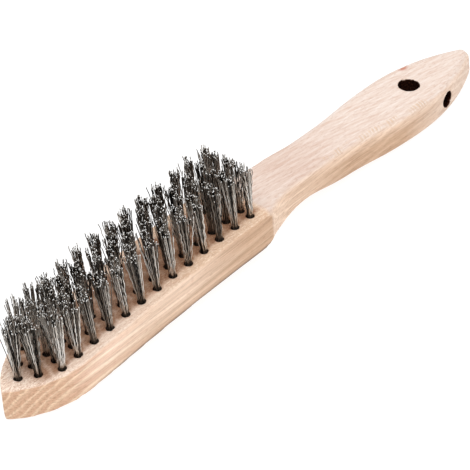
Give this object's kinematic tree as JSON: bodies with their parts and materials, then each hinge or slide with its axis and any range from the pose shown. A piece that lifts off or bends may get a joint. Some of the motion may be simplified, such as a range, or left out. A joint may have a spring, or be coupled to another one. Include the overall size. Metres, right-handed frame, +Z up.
{
  "type": "wire brush",
  "caption": "Hand wire brush lying on its back: bent beech block with a pointed head, paddle handle, hanging holes and rows of crimped steel wire tufts.",
  "frame": {"origin": "middle of the footprint, on the surface the brush lies on", "axes": "+X from the nose of the head to the end of the handle, +Y across the brush, +Z up, out of the bristle side"},
  "size_m": [0.2888, 0.0318, 0.0472],
  "materials": {
    "beech_wood": "sanded, untreated",
    "steel_wire": "drawn and crimped wire",
    "anchor_steel": "flat rolled wire"
  },
  "bodies": {
    "root": {"beech_block": "beech_wood", "tuft_column_01": "steel_wire", "tuft_column_02": "steel_wire", "tuft_column_03": "steel_wire", "tuft_column_04": "steel_wire", "tuft_column_05": "steel_wire", "tuft_column_06": "steel_wire", "tuft_column_07": "steel_wire", "tuft_column_08": "steel_wire", "tuft_column_09": "steel_wire", "tuft_column_10": "steel_wire", "tuft_column_11": "steel_wire", "tuft_column_12": "steel_wire", "tuft_column_13": "steel_wire", "tuft_column_14": "steel_wire", "tuft_column_15": "steel_wire", "anchor_column_01": "anchor_steel", "anchor_column_02": "anchor_steel", "anchor_column_03": "anchor_steel", "anchor_column_04": "anchor_steel", "anchor_column_05": "anchor_steel", "anchor_column_06": "anchor_steel", "anchor_column_07": "anchor_steel", "anchor_column_08": "anchor_steel", "anchor_column_09": "anchor_steel", "anchor_column_10": "anchor_steel", "anchor_column_11": "anchor_steel", "anchor_column_12": "anchor_steel", "anchor_column_13": "anchor_steel", "anchor_column_14": "anchor_steel", "anchor_column_15": "anchor_steel"}
  },
  "joints": []
}
